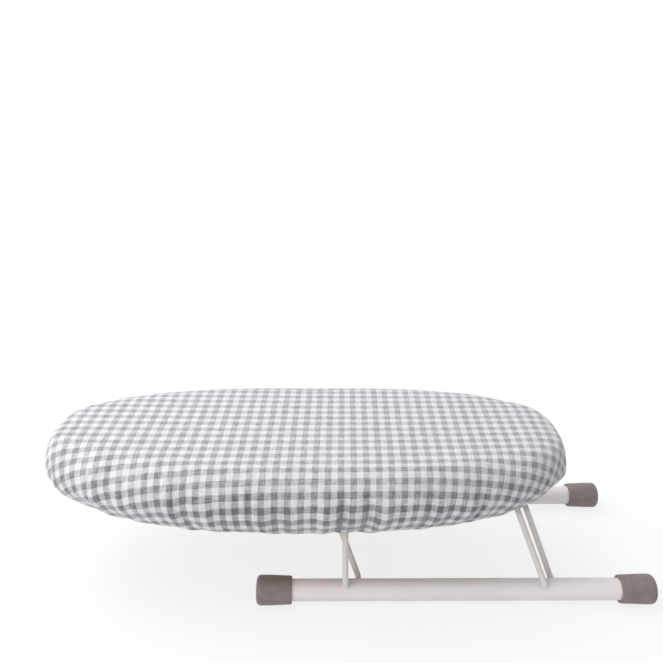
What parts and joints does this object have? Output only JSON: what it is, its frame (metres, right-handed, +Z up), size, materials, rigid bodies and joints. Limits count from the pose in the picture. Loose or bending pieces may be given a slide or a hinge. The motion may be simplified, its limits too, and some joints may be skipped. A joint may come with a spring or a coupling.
{
  "type": "table-top ironing board",
  "caption": "Table-top ironing board: padded oval board in a gathered gingham cover on low tubular feet with end caps, folding flat lengthwise on bent wire legs.",
  "frame": {"origin": "on the floor, at the middle of the overall box", "axes": "+X along the board towards the end where the feet stick out, +Y across it to the rear, +Z up"},
  "size_m": [0.575, 0.2, 0.142],
  "materials": {
    "gingham_cloth": "woven cotton, grey and white checks",
    "foam": "open-cell foam",
    "elastic": "ribbed braid",
    "panel_board": "bare particle board",
    "white_tube": "satin powder coat",
    "white_wire": "satin powder coat",
    "cap_plastic": "moulded, fine grain",
    "zinc_strap": "zinc plated",
    "zinc_screw": "zinc plated"
  },
  "bodies": {
    "board": {"cover": "gingham_cloth", "foam_pad": "foam", "hem_elastic": "elastic", "board_panel": "panel_board", "left_leg_front_saddle": "zinc_strap", "left_leg_rear_saddle": "zinc_strap", "right_leg_front_saddle": "zinc_strap", "right_leg_rear_saddle": "zinc_strap", "left_stay_front_saddle": "zinc_strap", "left_stay_rear_saddle": "zinc_strap", "right_stay_front_saddle": "zinc_strap", "right_stay_rear_saddle": "zinc_strap", "left_leg_front_screw": "zinc_screw", "left_leg_rear_screw": "zinc_screw", "right_leg_front_screw": "zinc_screw", "right_leg_rear_screw": "zinc_screw", "left_stay_front_screw": "zinc_screw", "left_stay_rear_screw": "zinc_screw", "right_stay_front_screw": "zinc_screw", "right_stay_rear_screw": "zinc_screw"},
    "left_leg": {"left_leg_wire": "white_wire"},
    "right_leg": {"right_leg_wire": "white_wire"},
    "feet": {"front_foot_tube": "white_tube", "rear_foot_tube": "white_tube", "front_left_cap": "cap_plastic", "front_right_cap": "cap_plastic", "rear_left_cap": "cap_plastic", "rear_right_cap": "cap_plastic"},
    "left_stay": {"left_stay_wire": "white_wire"},
    "right_stay": {"right_stay_wire": "white_wire"}
  },
  "joints": [
    {"name": "fold", "type": "hinge", "parent": "board", "child": "left_leg", "pos_m": [-0.01172, 0, 0.075], "axis": [0, 1, 0], "range_deg": [0, 100]},
    {"name": "right_leg_fold", "type": "hinge", "parent": "board", "child": "right_leg", "pos_m": [0.17228, 0, 0.075], "axis": [0, 1, 0], "range_deg": [0, 100]},
    {"name": "feet_level", "type": "hinge", "parent": "left_leg", "child": "feet", "pos_m": [0.012, 0, 0.0132], "axis": [0, 1, 0], "range_deg": [-100, 0]},
    {"name": "left_stay_swing", "type": "hinge", "parent": "board", "child": "left_stay", "pos_m": [-0.001, 0, 0.079], "axis": [0, 1, 0], "range_deg": [0, 88]},
    {"name": "right_stay_swing", "type": "hinge", "parent": "board", "child": "right_stay", "pos_m": [0.16158, 0, 0.079], "axis": [0, 1, 0], "range_deg": [0, 108]}
  ],
  "couplings": [
    {"joint": "right_leg_fold", "follows": "fold", "ratio": 1},
    {"joint": "feet_level", "follows": "fold", "ratio": -1},
    {"joint": "left_stay_swing", "follows": "fold", "ratio": 0.88},
    {"joint": "right_stay_swing", "follows": "fold", "ratio": 1.08}
  ]
}
